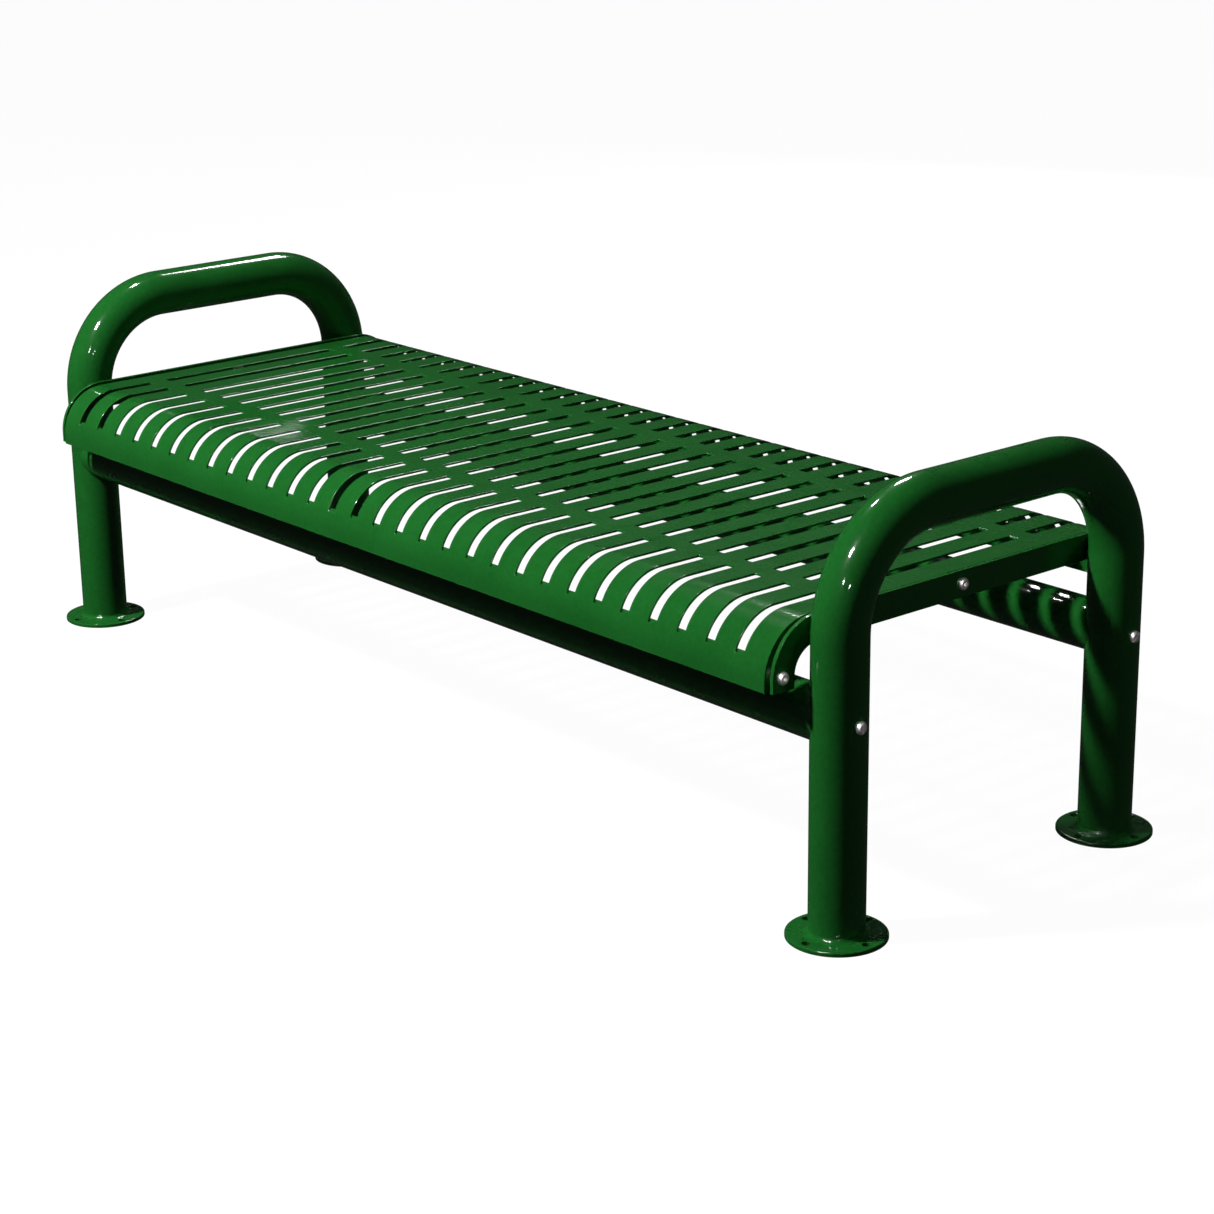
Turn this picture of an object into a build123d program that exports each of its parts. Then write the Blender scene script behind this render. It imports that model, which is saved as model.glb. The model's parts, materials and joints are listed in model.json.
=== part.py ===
from build123d import *
import os

# Backless bench: a slotted steel seat panel hung between two bent-pipe end frames.
# Millimetres. X runs along the bench, Y from front (-) to back (+), Z up from the floor.
# The origin is on the floor, under the middle of the seat.

os.makedirs("parts", exist_ok=True)

# ---- Driving dimensions ----------------------------------------------------------------

# End frames
LEG_SPACING_X = 1829.0  # six feet between the two end frames, pipe centre to pipe centre
LEG_SPACING_Y = 534.0  # front leg to rear leg, pipe centre to pipe centre
FRAME_PIPE_OD = 76.2
PIPE_WALL = 3.05
ARM_CENTRE_Z = 561.0
FRAME_BEND_RADIUS = 150.0

# Base flanges
BASE_OD = 136.5
BASE_THICKNESS = 6.35
BASE_EDGE_ROUNDING = 2.2
BASE_VENT_HOLE = 25.0
ANCHOR_PCD = 110.0
ANCHOR_COUNT = 4
ANCHOR_HOLE = 12.7
FOOT_WELD_LEG = 6.5

# Rails
RAIL_OD = 73.0
RAIL_CENTRE_Z = 298.5
RAIL_COPE_GAP = 0.3  # paint thickness between the rail's coped end and the leg
RAIL_PLUG_THICKNESS = 12.7
RAIL_PLUG_SETBACK = 6.3  # from the leg's inner side to the plug's outer face

# Seat panel
SEAT_TOP_Z = 430.5
SEAT_HALF_DEPTH = 350.0
SEAT_ROLL_RADIUS = 76.2  # outer radius of the front and rear rolls
SEAT_APRON_BOTTOM_Z = 340.0
SEAT_SHEET = 3.05
SEAT_HEM_TOP_Z = 384.5  # doubled edge inside each apron, seen dark behind the slots' lower ends
SEAT_HEM_HALF_LENGTH = 850.0  # stops short of the panel's end flanges
SEAT_HALF_LENGTH = 863.5

# Slots: three columns from front to back, repeated along the seat
SLOT_COUNT = 30
SLOT_PITCH = 56.0
SLOT_WIDTH = 15.9
SLOT_CORNER = 1.5
MIDDLE_SLOT_HALF_LENGTH = 171.5
OUTER_SLOT_START_Y = 203.0
OUTER_SLOT_ROLL_ANGLE = 69.5  # how far round the roll the outer slots run, in degrees

# End ribs and the panel's end flanges. The ribs stand proud of the sheet's ends.
PLATE = 6.35
RIB_TOP_Z = 433.5
RIB_HALF_DEPTH = 347.0
RIB_DEPTH = 38.1
RIB_BOTTOM_Z = 341.0
FLANGE_DEPTH = 35.0
FLANGE_INSET = 1.5  # from the end of the sheet to the flange plate's outer face
PLATE_EDGE_ROUNDING = 0.8
RIB_WELD_RADIUS = 4.5
RIB_WELD_OFFSET_Y = 15.0
RIB_WELD_HEIGHT = 15.0  # up to where the leg starts to bend

# Fasteners, three-eighths of an inch
BOLT_DIAMETER = 9.525
BOLT_CLEARANCE_HOLE = 11.1
THREAD_CLEARANCE = 0.05
HEAD_DIAMETER = 17.8
HEAD_HEIGHT = 5.0
HEAD_RIM = 1.0
SOCKET_FLATS = 5.6
SOCKET_DEPTH = 3.0
DRIVER_SLOT_WIDTH = 1.9
DRIVER_SLOT_DEPTH = 2.0
RAIL_BOLT_LENGTH = 101.6
SEAT_BOLT_LENGTH = 31.75
SPACER_OD = 19.0
WASHER_OD = 22.2
WASHER_THICKNESS = 1.6
NUT_FLATS = 14.3
NUT_THICKNESS = 8.3

# ---- Worked-out sizes -------------------------------------------------------------------

LEG_X = LEG_SPACING_X / 2
LEG_Y = LEG_SPACING_Y / 2
FRAME_RADIUS = FRAME_PIPE_OD / 2
RAIL_RADIUS = RAIL_OD / 2
ROLL_CENTRE_Y = SEAT_HALF_DEPTH - SEAT_ROLL_RADIUS
ROLL_CENTRE_Z = SEAT_TOP_Z - SEAT_ROLL_RADIUS
SHEET_INSIDE_RADIUS = SEAT_ROLL_RADIUS - SEAT_SHEET
RIB_OUTER_X = LEG_X - FRAME_RADIUS  # the rib stands against the inner side of the legs
RIB_INNER_X = RIB_OUTER_X - PLATE
FLANGE_OUTER_X = SEAT_HALF_LENGTH - FLANGE_INSET
FLANGE_INNER_X = FLANGE_OUTER_X - PLATE
SPACER_LENGTH = RIB_INNER_X - FLANGE_OUTER_X
PLUG_OUTER_X = RIB_OUTER_X - RAIL_PLUG_SETBACK

# The three seat bolts at each end, as (y, z).
SEAT_BOLT_LOW_Y = 330.5
SEAT_BOLT_LOW_Z = 360.0
SEAT_BOLTS = [
    (-SEAT_BOLT_LOW_Y, SEAT_BOLT_LOW_Z),
    (0.0, RIB_TOP_Z - RIB_DEPTH / 2),
    (SEAT_BOLT_LOW_Y, SEAT_BOLT_LOW_Z),
]

SIDES = {"left": -1, "right": 1}
ROWS = {"front": -1, "rear": 1}


def finish(piece, name):
    """Label a finished piece and write it to its own file."""
    piece.part.label = name
    export_step(piece.part, f"parts/{name}.step")


def end_plane(x, y, z, side):
    """Plane across a fastener at one end of the bench; its normal points outwards."""
    return Plane(origin=(x * side, y, z), x_dir=(0, 1, 0), z_dir=(side, 0, 0))


def rolled_band(half_depth, top_z, roll_radius, thickness, end_z):
    """Section of the seat from front to rear: flat on top, rolled over and down at both sides."""
    centre_y = half_depth - roll_radius
    centre_z = top_z - roll_radius
    with BuildSketch() as band:
        with BuildLine():
            for radius in (roll_radius, roll_radius - thickness):
                reach = centre_y + radius
                top = centre_z + radius
                Line((-reach, end_z), (-reach, centre_z))
                RadiusArc((-reach, centre_z), (-centre_y, top), radius)
                Line((-centre_y, top), (centre_y, top))
                RadiusArc((centre_y, top), (reach, centre_z), radius)
                Line((reach, centre_z), (reach, end_z))
            for way in (-1, 1):
                Line((way * half_depth, end_z), (way * (half_depth - thickness), end_z))
        make_face()
    return band.sketch


def outer_slot_side(row):
    """Side view of one outer slot's cut, a little thicker than the sheet on both faces."""
    start_y = row * OUTER_SLOT_START_Y
    centre = (row * ROLL_CENTRE_Y, ROLL_CENTRE_Z)
    turn = -row * OUTER_SLOT_ROLL_ANGLE
    with BuildSketch() as cut:
        with BuildLine():
            outer = CenterArc(centre, SEAT_ROLL_RADIUS + SEAT_SHEET / 2, 90, turn)
            inner = CenterArc(centre, SEAT_ROLL_RADIUS - 1.5 * SEAT_SHEET, 90, turn)
            Line(outer @ 1, inner @ 1)
            Polyline(outer @ 0, (start_y, (outer @ 0).Y), (start_y, (inner @ 0).Y), inner @ 0)
        make_face()
    return cut.sketch


def ring(outer_diameter, inner_diameter, thickness):
    """Flat ring on the XY plane."""
    with BuildPart() as body:
        with BuildSketch():
            Circle(outer_diameter / 2)
            Circle(inner_diameter / 2, mode=Mode.SUBTRACT)
        extrude(amount=thickness)
    return body.part


def domed_bolt(length):
    """Round-headed bolt along Z: the head stands on the XY plane and the shank hangs below it."""
    with BuildPart() as body:
        with BuildSketch(Plane.XZ):
            with BuildLine():
                crown = HEAD_DIAMETER / 4
                Polyline((0, 0), (HEAD_DIAMETER / 2, 0), (HEAD_DIAMETER / 2, HEAD_RIM))
                Spline(
                    (HEAD_DIAMETER / 2, HEAD_RIM),
                    (crown, HEAD_HEIGHT),
                    tangents=((-0.35, 1), (-1, 0)),
                )
                Polyline((crown, HEAD_HEIGHT), (0, HEAD_HEIGHT), (0, 0))
            make_face()
        revolve(axis=Axis.Z)
        with BuildSketch():
            Circle(BOLT_DIAMETER / 2)
        extrude(amount=-length)
        chamfer(body.edges().sort_by(Axis.Z)[0], 1.0)
    return body.part


# ---- End frames -------------------------------------------------------------------------

for side_name, side in SIDES.items():
    leg_x = side * LEG_X

    with BuildPart() as end_frame_pipe:
        with BuildLine(Plane.YZ.offset(leg_x)):
            FilletPolyline(
                (-LEG_Y, BASE_THICKNESS),
                (-LEG_Y, ARM_CENTRE_Z),
                (LEG_Y, ARM_CENTRE_Z),
                (LEG_Y, BASE_THICKNESS),
                radius=FRAME_BEND_RADIUS,
            )
        with BuildSketch(Plane(origin=(leg_x, -LEG_Y, BASE_THICKNESS), z_dir=(0, 0, 1))):
            Circle(FRAME_RADIUS)
            Circle(FRAME_RADIUS - PIPE_WALL, mode=Mode.SUBTRACT)
        sweep()
        with BuildSketch(Plane.YZ.offset(leg_x)):
            with Locations((-LEG_Y, RAIL_CENTRE_Z), (LEG_Y, RAIL_CENTRE_Z)):
                Circle(BOLT_CLEARANCE_HOLE / 2)
        extrude(amount=FRAME_PIPE_OD, both=True, mode=Mode.SUBTRACT)
    finish(end_frame_pipe, f"{side_name}_end_frame_pipe")

    for row_name, row in ROWS.items():
        with BuildPart() as base_flange:
            with Locations((leg_x, row * LEG_Y, 0)):
                Cylinder(
                    BASE_OD / 2,
                    BASE_THICKNESS,
                    align=(Align.CENTER, Align.CENTER, Align.MIN),
                )
            top_face = base_flange.faces().sort_by(Axis.Z)[-1]
            fillet(top_face.edges(), BASE_EDGE_ROUNDING)
            with BuildSketch(Plane.XY):
                with Locations((leg_x, row * LEG_Y)):
                    Circle(BASE_VENT_HOLE / 2)
                    with PolarLocations(ANCHOR_PCD / 2, ANCHOR_COUNT):
                        Circle(ANCHOR_HOLE / 2)
            extrude(amount=BASE_THICKNESS, mode=Mode.SUBTRACT)
        finish(base_flange, f"{row_name}_{side_name}_base_flange")

    with BuildPart() as end_rib:
        with BuildSketch(Plane.YZ.offset(side * RIB_INNER_X)):
            add(rolled_band(RIB_HALF_DEPTH, RIB_TOP_Z, SEAT_ROLL_RADIUS, RIB_DEPTH, RIB_BOTTOM_Z))
            with Locations(*SEAT_BOLTS):
                Circle(BOLT_CLEARANCE_HOLE / 2, mode=Mode.SUBTRACT)
        extrude(amount=side * PLATE)
        outline = end_rib.edges().filter_by(Axis.X, reverse=True).filter_by(GeomType.LINE)
        fillet(outline, PLATE_EDGE_ROUNDING)
    finish(end_rib, f"{side_name}_end_rib")

# ---- Weld beads -------------------------------------------------------------------------

with BuildPart() as foot_weld_beads:
    for side in SIDES.values():
        for row in ROWS.values():
            leg_axis = Axis((side * LEG_X, row * LEG_Y, 0), (0, 0, 1))
            with BuildSketch(Plane.XZ.offset(-row * LEG_Y)):
                with BuildLine():
                    root = (side * LEG_X + FRAME_RADIUS, BASE_THICKNESS)
                    toe = (root[0] + FOOT_WELD_LEG, root[1])
                    top = (root[0], root[1] + FOOT_WELD_LEG)
                    Line(root, toe)
                    RadiusArc(toe, top, FOOT_WELD_LEG * 1.6)
                    Line(top, root)
                make_face()
            revolve(axis=leg_axis)
finish(foot_weld_beads, "foot_weld_beads")

with BuildPart() as rib_weld_beads:
    for side in SIDES.values():
        with BuildSketch(Plane.XY.offset(ARM_CENTRE_Z - FRAME_BEND_RADIUS)):
            for row in ROWS.values():
                for way in (-1, 1):
                    with Locations((side * (RIB_OUTER_X + 1.5), row * LEG_Y + way * RIB_WELD_OFFSET_Y)):
                        Circle(RIB_WELD_RADIUS)
            with Locations((side * RIB_OUTER_X, 0)):
                inward = Align.MAX if side > 0 else Align.MIN
                Rectangle(PLATE, LEG_SPACING_X, align=(inward, Align.CENTER), mode=Mode.SUBTRACT)
            for row in ROWS.values():
                with Locations((side * LEG_X, row * LEG_Y)):
                    Circle(FRAME_RADIUS, mode=Mode.SUBTRACT)
        extrude(amount=-RIB_WELD_HEIGHT)
finish(rib_weld_beads, "rib_weld_beads")

# ---- Rails ------------------------------------------------------------------------------

for row_name, row in ROWS.items():
    rail_y = row * LEG_Y

    with BuildPart() as rail:
        with BuildSketch(Plane.YZ):
            with Locations((rail_y, RAIL_CENTRE_Z)):
                Circle(RAIL_RADIUS)
                Circle(RAIL_RADIUS - PIPE_WALL, mode=Mode.SUBTRACT)
        extrude(amount=LEG_X, both=True)
        with Locations((-LEG_X, rail_y, RAIL_CENTRE_Z), (LEG_X, rail_y, RAIL_CENTRE_Z)):
            Cylinder(FRAME_RADIUS + RAIL_COPE_GAP, 2 * RAIL_OD, mode=Mode.SUBTRACT)
    finish(rail, f"{row_name}_rail")

    for side_name, side in SIDES.items():
        with BuildPart() as rail_plug:
            with BuildSketch(end_plane(PLUG_OUTER_X, rail_y, RAIL_CENTRE_Z, side)):
                Circle(RAIL_RADIUS - PIPE_WALL - THREAD_CLEARANCE)
                Circle(BOLT_DIAMETER / 2 + THREAD_CLEARANCE, mode=Mode.SUBTRACT)
            extrude(amount=-RAIL_PLUG_THICKNESS)
        finish(rail_plug, f"{row_name}_rail_{side_name}_threaded_plug")

# ---- Seat panel -------------------------------------------------------------------------

with BuildPart() as slot_cutter:
    with BuildSketch(Plane.YZ.offset(-SLOT_WIDTH / 2)):
        with Locations((0, SEAT_TOP_Z)):
            Rectangle(2 * MIDDLE_SLOT_HALF_LENGTH, 4 * SEAT_SHEET)
        for row in ROWS.values():
            add(outer_slot_side(row))
    extrude(amount=SLOT_WIDTH)
    fillet(slot_cutter.edges().filter_by(Axis.Z), SLOT_CORNER)
    for row in ROWS.values():
        roll_end = Vector(0, row * SEAT_ROLL_RADIUS, 0).rotate(Axis.X, row * (90 - OUTER_SLOT_ROLL_ANGLE))
        fillet(slot_cutter.edges().filter_by(Axis((0, 0, 0), roll_end)), SLOT_CORNER)

with BuildPart() as seat_panel:
    with BuildSketch(Plane.YZ.offset(-SEAT_HALF_LENGTH)):
        add(rolled_band(SEAT_HALF_DEPTH, SEAT_TOP_Z, SEAT_ROLL_RADIUS, SEAT_SHEET, SEAT_APRON_BOTTOM_Z))
    extrude(amount=2 * SEAT_HALF_LENGTH)
    with GridLocations(SLOT_PITCH, 0, SLOT_COUNT, 1):
        add(slot_cutter.part, mode=Mode.SUBTRACT)
    with BuildSketch(Plane.YZ.offset(-SEAT_HEM_HALF_LENGTH)):
        add(
            rolled_band(
                SEAT_HALF_DEPTH - SEAT_SHEET,
                SEAT_TOP_Z - SEAT_SHEET,
                SHEET_INSIDE_RADIUS,
                SEAT_SHEET,
                SEAT_APRON_BOTTOM_Z,
            )
        )
        with Locations((0, SEAT_HEM_TOP_Z)):
            Rectangle(
                2 * SEAT_HALF_DEPTH,
                SEAT_TOP_Z,
                align=(Align.CENTER, Align.MIN),
                mode=Mode.SUBTRACT,
            )
    extrude(amount=2 * SEAT_HEM_HALF_LENGTH)
finish(seat_panel, "seat_panel")

# ---- Panel end flanges and their bolts ---------------------------------------------------

for side_name, side in SIDES.items():
    with BuildPart() as seat_end_flange:
        with BuildSketch(Plane.YZ.offset(side * FLANGE_INNER_X)):
            add(
                rolled_band(
                    SEAT_HALF_DEPTH - SEAT_SHEET,
                    SEAT_TOP_Z - SEAT_SHEET,
                    SHEET_INSIDE_RADIUS,
                    FLANGE_DEPTH,
                    RIB_BOTTOM_Z,
                )
            )
            with Locations(*SEAT_BOLTS):
                Circle(BOLT_CLEARANCE_HOLE / 2, mode=Mode.SUBTRACT)
        extrude(amount=side * PLATE)
    finish(seat_end_flange, f"{side_name}_seat_end_flange")

    with BuildPart() as seat_bolts:
        with Locations(*[end_plane(RIB_OUTER_X, y, z, side) for y, z in SEAT_BOLTS]):
            add(domed_bolt(SEAT_BOLT_LENGTH))
        head_top_x = RIB_OUTER_X + HEAD_HEIGHT
        for y, z in SEAT_BOLTS:
            with BuildSketch(end_plane(head_top_x, y, z, side)):
                RegularPolygon(SOCKET_FLATS / 2, 6, major_radius=False)
            extrude(amount=-SOCKET_DEPTH, mode=Mode.SUBTRACT)
    finish(seat_bolts, f"{side_name}_seat_bolts")

    with BuildPart() as seat_bolt_spacers:
        with Locations(*[end_plane(FLANGE_OUTER_X, y, z, side) for y, z in SEAT_BOLTS]):
            add(ring(SPACER_OD, BOLT_CLEARANCE_HOLE, SPACER_LENGTH))
    finish(seat_bolt_spacers, f"{side_name}_seat_bolt_spacers")

    washer_base_x = FLANGE_INNER_X - WASHER_THICKNESS
    with BuildPart() as seat_bolt_washers:
        with Locations(*[end_plane(washer_base_x, y, z, side) for y, z in SEAT_BOLTS]):
            add(ring(WASHER_OD, BOLT_CLEARANCE_HOLE, WASHER_THICKNESS))
    finish(seat_bolt_washers, f"{side_name}_seat_bolt_washers")

    with BuildPart() as seat_bolt_nuts:
        for y, z in SEAT_BOLTS:
            with BuildSketch(end_plane(washer_base_x, y, z, side)):
                RegularPolygon(NUT_FLATS / 2, 6, major_radius=False)
                Circle(BOLT_DIAMETER / 2 + THREAD_CLEARANCE, mode=Mode.SUBTRACT)
            extrude(amount=-NUT_THICKNESS)
    finish(seat_bolt_nuts, f"{side_name}_seat_bolt_nuts")

# ---- Rail bolts, through the legs into the rails' plugs ----------------------------------

DRIVER_SLOT_TURN = {
    ("left", "front"): 70,
    ("left", "rear"): 20,
    ("right", "front"): 86,
    ("right", "rear"): 40,
}

for side_name, side in SIDES.items():
    head_x = LEG_X + FRAME_RADIUS
    head_planes = {
        row_name: end_plane(head_x, row * LEG_Y, RAIL_CENTRE_Z, side)
        for row_name, row in ROWS.items()
    }
    with BuildPart() as rail_bolts:
        with Locations(*head_planes.values()):
            add(domed_bolt(RAIL_BOLT_LENGTH))
        for row_name, head_plane in head_planes.items():
            with BuildSketch(head_plane.offset(HEAD_HEIGHT)):
                turn = DRIVER_SLOT_TURN[(side_name, row_name)]
                Rectangle(HEAD_DIAMETER, DRIVER_SLOT_WIDTH, rotation=turn)
            extrude(amount=-DRIVER_SLOT_DEPTH, mode=Mode.SUBTRACT)
    finish(rail_bolts, f"{side_name}_rail_bolts")
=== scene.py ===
import json
import math

import bmesh
import bpy
from mathutils import Matrix, Vector
from mathutils.geometry import delaunay_2d_cdt

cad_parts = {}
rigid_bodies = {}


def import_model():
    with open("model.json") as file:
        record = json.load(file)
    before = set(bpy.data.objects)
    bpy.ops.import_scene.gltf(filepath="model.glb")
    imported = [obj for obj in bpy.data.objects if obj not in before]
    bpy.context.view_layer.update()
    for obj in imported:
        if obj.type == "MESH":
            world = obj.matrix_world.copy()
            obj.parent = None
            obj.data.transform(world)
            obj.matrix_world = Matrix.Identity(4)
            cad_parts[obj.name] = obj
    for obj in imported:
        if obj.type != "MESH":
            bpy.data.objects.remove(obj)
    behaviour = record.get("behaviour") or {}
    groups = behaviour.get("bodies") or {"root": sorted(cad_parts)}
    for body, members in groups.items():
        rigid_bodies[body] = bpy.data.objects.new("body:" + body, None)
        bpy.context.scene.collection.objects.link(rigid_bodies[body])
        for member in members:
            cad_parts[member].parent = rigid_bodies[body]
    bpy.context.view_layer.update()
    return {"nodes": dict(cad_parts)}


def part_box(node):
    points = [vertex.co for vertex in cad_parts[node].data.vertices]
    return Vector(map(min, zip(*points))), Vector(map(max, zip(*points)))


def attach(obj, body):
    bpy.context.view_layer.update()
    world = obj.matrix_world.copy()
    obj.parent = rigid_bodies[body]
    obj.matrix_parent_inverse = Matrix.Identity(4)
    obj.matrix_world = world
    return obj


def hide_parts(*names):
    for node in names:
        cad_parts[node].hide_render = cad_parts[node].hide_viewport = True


# Looks of the backless bench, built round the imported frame. Metres, in the frame's own axes:
# X along the bench, Y from front (-) to rear (+), Z up from the floor.

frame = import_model()

MM = 0.001
BODY = "root"
SIDES = {"left": -1, "right": 1}
ROWS = {"front": -1, "rear": 1}
SMOOTH_ANGLE = math.radians(32)

# ---- Sizes, read from the frame or kept as in the design --------------------------------

seat_low, seat_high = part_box("seat_panel")
pipe_low, pipe_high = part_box("right_end_frame_pipe")
rail_low, rail_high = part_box("rear_rail")
rib_low, rib_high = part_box("right_end_rib")
end_flange_low, end_flange_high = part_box("right_seat_end_flange")
base_low, base_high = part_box("front_right_base_flange")

PIPE_RADIUS = (pipe_high.x - pipe_low.x) / 2
PIPE_WALL = 3.05 * MM
LEG_X = (pipe_high.x + pipe_low.x) / 2
LEG_Y = pipe_high.y - PIPE_RADIUS
LEG_FOOT_Z = pipe_low.z
ARM_Z = pipe_high.z - PIPE_RADIUS
BEND_RADIUS = 150 * MM

RAIL_RADIUS = (rail_high.z - rail_low.z) / 2
RAIL_Z = (rail_high.z + rail_low.z) / 2
RAIL_COPE_GAP = 0.3 * MM
RAIL_END_ROUNDING = 0.6 * MM
RAIL_BORE_END = 6 * MM  # depth of the ring that holds the bore straight at each end

SEAT_HALF_LENGTH = seat_high.x
SEAT_HALF_DEPTH = seat_high.y
SEAT_TOP = seat_high.z
APRON_BOTTOM = seat_low.z
ROLL_RADIUS = 76.2 * MM
SHEET = 3.05 * MM
SHEET_TOP_ROUNDING = 0.9 * MM
SHEET_UNDER_ROUNDING = 0.25 * MM
HEM_TOP = 384.5 * MM
HEM_HALF_LENGTH = 850 * MM
HEM_GAP = 0.15 * MM
HEM_ROUNDING = 0.5 * MM
SHARP_EDGE = math.radians(60)

SLOT_COUNT = 30
SLOT_PITCH = 56 * MM
SLOT_WIDTH = 15.9 * MM
SLOT_CORNER = 1.5 * MM
MIDDLE_SLOT_HALF = 171.5 * MM
OUTER_SLOT_START = 203 * MM
OUTER_SLOT_ROLL = math.radians(69.5)

BASE_RADIUS = (base_high.x - base_low.x) / 2
BASE_TOP = base_high.z
BASE_ROUNDING = 2.2 * MM
BASE_VENT_RADIUS = 12.5 * MM
ANCHOR_CIRCLE = 55 * MM
ANCHOR_RADIUS = 6.35 * MM
HOLE_ROUNDING = 0.8 * MM
BASE_UNDERSIDE_ROUNDING = 0.6 * MM
ANCHOR_COUNT = 4
FOOT_WELD_LEG = 6.5 * MM
FOOT_WELD_RIPPLES = 66
FOOT_WELD_RIPPLE_HEIGHT = 0.10 * MM
RIB_WELD_RADIUS = 4.0 * MM
RIB_WELD_OFFSET_Y = 15 * MM  # each side of the leg's centre
RIB_WELD_OFFSET_X = 1.6 * MM  # out from the rib's outer face
RIB_WELD_BURIED = 1.5 * MM  # how far a bead reaches back into the rib

RIB_DEPTH = 38.1 * MM
END_FLANGE_DEPTH = 35 * MM
PLATE_ROUNDING = 1.0 * MM

BOLT_RADIUS = 9.525 * MM / 2
HEAD_RADIUS = 8.9 * MM
HEAD_HEIGHT = 5.0 * MM
HEAD_CROWN = 4.45 * MM
HEAD_RIM = 1.0 * MM
HEAD_EDGE_ROUNDING = 0.25 * MM
CROWN_RISE = 0.12 * MM
SOCKET_FLATS = 5.6 * MM
SOCKET_DEPTH = 3.0 * MM
DRIVER_SLOT_WIDTH = 1.9 * MM
DRIVER_SLOT_DEPTH = 2.0 * MM
NUT_FLATS = 14.3 * MM
NUT_CHAMFER = 1.1 * MM
THREAD_CLEARANCE = 0.05 * MM
SHANK_CHAMFER = 0.8 * MM
SEAT_BOLT_LENGTH = 31.75 * MM
RAIL_BOLT_LENGTH = 101.6 * MM

SEAT_BOLT_LOW_Y = 330.5 * MM
SEAT_BOLT_LOW_Z = 360 * MM
SEAT_BOLTS = [
    (-SEAT_BOLT_LOW_Y, SEAT_BOLT_LOW_Z),
    (0.0, rib_high.z - RIB_DEPTH / 2),
    (SEAT_BOLT_LOW_Y, SEAT_BOLT_LOW_Z),
]


# Heights of the finest relief, which the materials carry
COAT_SAG = 0.10 * MM
FOOT_COAT_SAG = 0.45 * MM
COAT_PEEL = 0.03 * MM
TURNED_RING_HEIGHT = 0.02 * MM

# ---- Materials --------------------------------------------------------------------------


class Nodes:
    """Short way to build one material's node tree."""

    def __init__(self, name):
        self.material = bpy.data.materials.new(name)
        self.material.use_nodes = True
        self.tree = self.material.node_tree
        self.shader = self.tree.nodes["Principled BSDF"]
        self.coords = self.tree.nodes.new("ShaderNodeTexCoord").outputs["Object"]

    def link(self, output, node, socket):
        self.tree.links.new(output, node.inputs[socket])

    def noise(self, scale, detail=2.0, roughness=0.5, vector=None):
        node = self.tree.nodes.new("ShaderNodeTexNoise")
        node.inputs["Scale"].default_value = scale
        node.inputs["Detail"].default_value = detail
        node.inputs["Roughness"].default_value = roughness
        self.link(vector or self.coords, node, "Vector")
        return node.outputs["Fac"]

    def remap(self, value, from_low, from_high, to_low, to_high):
        node = self.tree.nodes.new("ShaderNodeMapRange")
        self.link(value, node, "Value")
        node.inputs["From Min"].default_value = from_low
        node.inputs["From Max"].default_value = from_high
        node.inputs["To Min"].default_value = to_low
        node.inputs["To Max"].default_value = to_high
        return node.outputs["Result"]

    def math(self, operation, a, b):
        node = self.tree.nodes.new("ShaderNodeMath")
        node.operation = operation
        for index, value in enumerate((a, b)):
            if isinstance(value, (int, float)):
                node.inputs[index].default_value = value
            else:
                self.tree.links.new(value, node.inputs[index])
        return node.outputs["Value"]

    def ramp(self, value, *stops):
        node = self.tree.nodes.new("ShaderNodeValToRGB")
        elements = node.color_ramp.elements
        while len(elements) < len(stops):
            elements.new(0.5)
        for element, (position, colour) in zip(elements, stops):
            element.position = position
            element.color = (*colour, 1.0)
        self.link(value, node, "Fac")
        return node.outputs["Color"]

    def bump(self, height, distance, strength=1.0, normal=None):
        node = self.tree.nodes.new("ShaderNodeBump")
        node.inputs["Distance"].default_value = distance
        node.inputs["Strength"].default_value = strength
        self.link(height, node, "Height")
        if normal is not None:
            self.link(normal, node, "Normal")
        return node.outputs["Normal"]


def powder_coat(name, sag):
    """Gloss dark green powder coat: orange peel, slight mottling and uneven gloss.

    sag is the height of its broad unevenness, larger where the coat has pooled.
    """
    nodes = Nodes(name)
    mottling = nodes.math("ADD", nodes.noise(9.0, 3.0), nodes.noise(160.0, 2.0))
    colour = nodes.ramp(
        nodes.math("MULTIPLY", mottling, 0.5),
        (0.30, (0.0085, 0.112, 0.0150)),
        (0.50, (0.0105, 0.130, 0.0180)),
        (0.72, (0.0130, 0.150, 0.0215)),
    )
    nodes.link(colour, nodes.shader, "Base Color")
    gloss = nodes.remap(nodes.noise(28.0, 4.0), 0.3, 0.7, 0.24, 0.36)
    nodes.link(gloss, nodes.shader, "Roughness")
    nodes.shader.inputs["Specular IOR Level"].default_value = 0.02
    nodes.shader.inputs["Coat Weight"].default_value = 1.0
    nodes.shader.inputs["Coat IOR"].default_value = 1.5
    coat = nodes.remap(nodes.noise(70.0, 3.0), 0.3, 0.7, 0.04, 0.08)
    nodes.link(coat, nodes.shader, "Coat Roughness")
    broad = nodes.bump(nodes.noise(190.0, 1.0), sag)
    peel = nodes.bump(nodes.noise(620.0, 2.0, 0.6), COAT_PEEL, normal=broad)
    nodes.link(peel, nodes.shader, "Normal")
    nodes.link(peel, nodes.shader, "Coat Normal")
    return nodes.material


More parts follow.
